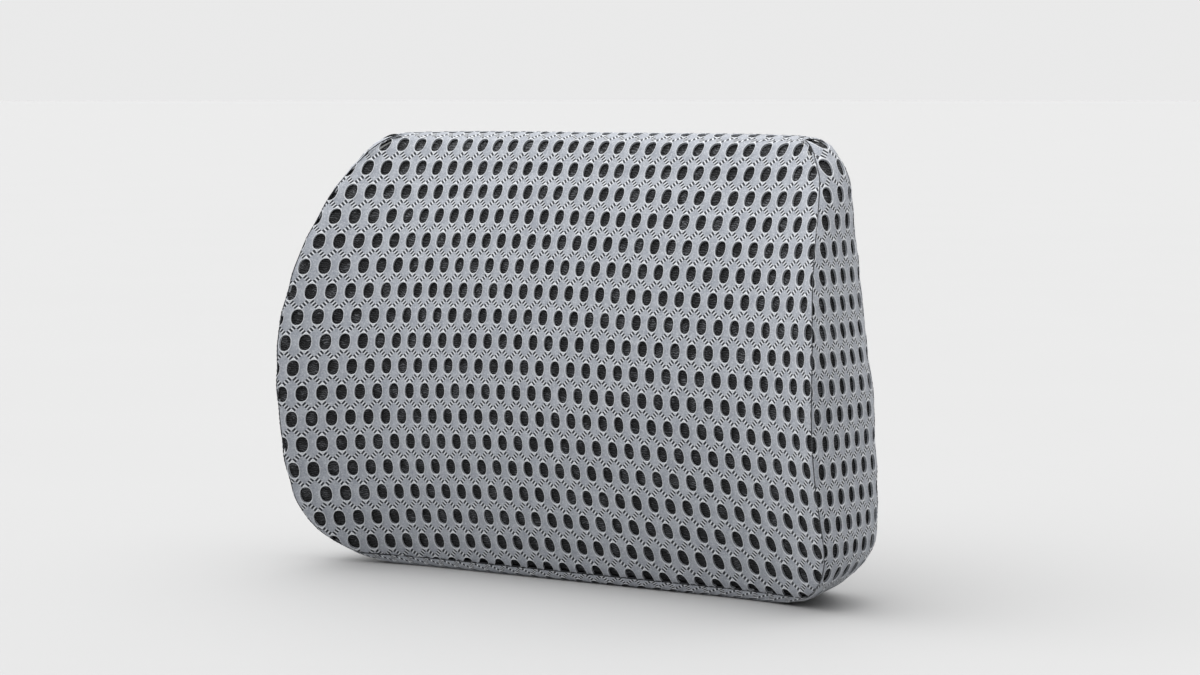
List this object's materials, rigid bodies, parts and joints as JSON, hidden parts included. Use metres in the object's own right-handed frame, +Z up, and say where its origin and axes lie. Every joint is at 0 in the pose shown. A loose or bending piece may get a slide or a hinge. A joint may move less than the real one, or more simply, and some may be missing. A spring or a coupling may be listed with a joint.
{
  "type": "lumbar support cushion",
  "caption": "Contoured lumbar support cushion with forward side wings, a zipped spacer-mesh cover over foam, and an elastic back strap with a side-release buckle.",
  "frame": {"origin": "middle of the whole object's box, at the height of the lower edge that it stands on", "axes": "+X to the right as seen from the front, -Y out of the curved front face, +Y out of the back that carries the strap, +Z up"},
  "size_m": [0.4124, 0.1348, 0.2947],
  "materials": {
    "mesh_cover": "matt spacer mesh, grey-blue, with dark oval holes",
    "liner_cloth": "plain close-woven cloth",
    "foam": "open-cell moulded foam",
    "thread": "spun polyester thread",
    "tape_cloth": "woven zipper tape",
    "zipper_plastic": "satin moulded plastic",
    "zipper_metal": "dark painted die casting",
    "webbing": "ribbed elastic webbing",
    "buckle_plastic": "satin moulded plastic"
  },
  "bodies": {
    "cushion": {"foam_core": "foam", "liner_front": "liner_cloth", "liner_back": "liner_cloth", "cover_front": "mesh_cover", "cover_side_left": "mesh_cover", "cover_side_right": "mesh_cover", "cover_bottom": "mesh_cover", "cover_back_upper": "mesh_cover", "cover_back_lower": "mesh_cover", "seam_thread_front": "thread", "seam_thread_back": "thread", "zipper_tape_upper": "tape_cloth", "zipper_tape_lower": "tape_cloth", "zipper_teeth_upper": "zipper_plastic", "zipper_teeth_lower": "zipper_plastic", "zipper_stops": "zipper_metal", "strap_left": "webbing", "strap_right": "webbing", "buckle_socket": "buckle_plastic"},
    "slider": {"zipper_slider": "zipper_metal"},
    "pull": {"zipper_pull": "zipper_metal"},
    "adjuster": {"strap_adjuster": "buckle_plastic"},
    "plug": {"buckle_plug": "buckle_plastic"},
    "prong_upper": {"buckle_prong_upper": "buckle_plastic"},
    "prong_lower": {"buckle_prong_lower": "buckle_plastic"}
  },
  "joints": [
    {"name": "zipper_slide", "type": "slide", "parent": "cushion", "child": "slider", "axis": [1, 0, 0], "range_m": [-0.24, 0]},
    {"name": "zipper_pull_hinge", "type": "hinge", "parent": "slider", "child": "pull", "pos_m": [0.121, 0.0627, 0.042], "axis": [0, 0, -1], "range_deg": [0, 165]},
    {"name": "buckle_release", "type": "slide", "parent": "cushion", "child": "plug", "axis": [-1, 0, 0], "range_m": [0, 0.034], "deforming": ["strap_left", "buckle_prong_upper", "buckle_prong_lower"]},
    {"name": "prong_upper_squeeze", "type": "hinge", "parent": "plug", "child": "prong_upper", "pos_m": [-0.008, 0.0636, 0.117], "axis": [0, 1, 0], "range_deg": [0, 12], "stiffness_Nm_per_rad": 0.5},
    {"name": "prong_lower_squeeze", "type": "hinge", "parent": "plug", "child": "prong_lower", "pos_m": [-0.008, 0.0636, 0.095], "axis": [0, 1, 0], "range_deg": [-12, 0], "stiffness_Nm_per_rad": 0.5},
    {"name": "adjuster_slide", "type": "slide", "parent": "cushion", "child": "adjuster", "axis": [1, 0, 0], "range_m": [-0.03, 0.03], "deforming": ["strap_right"]}
  ]
}
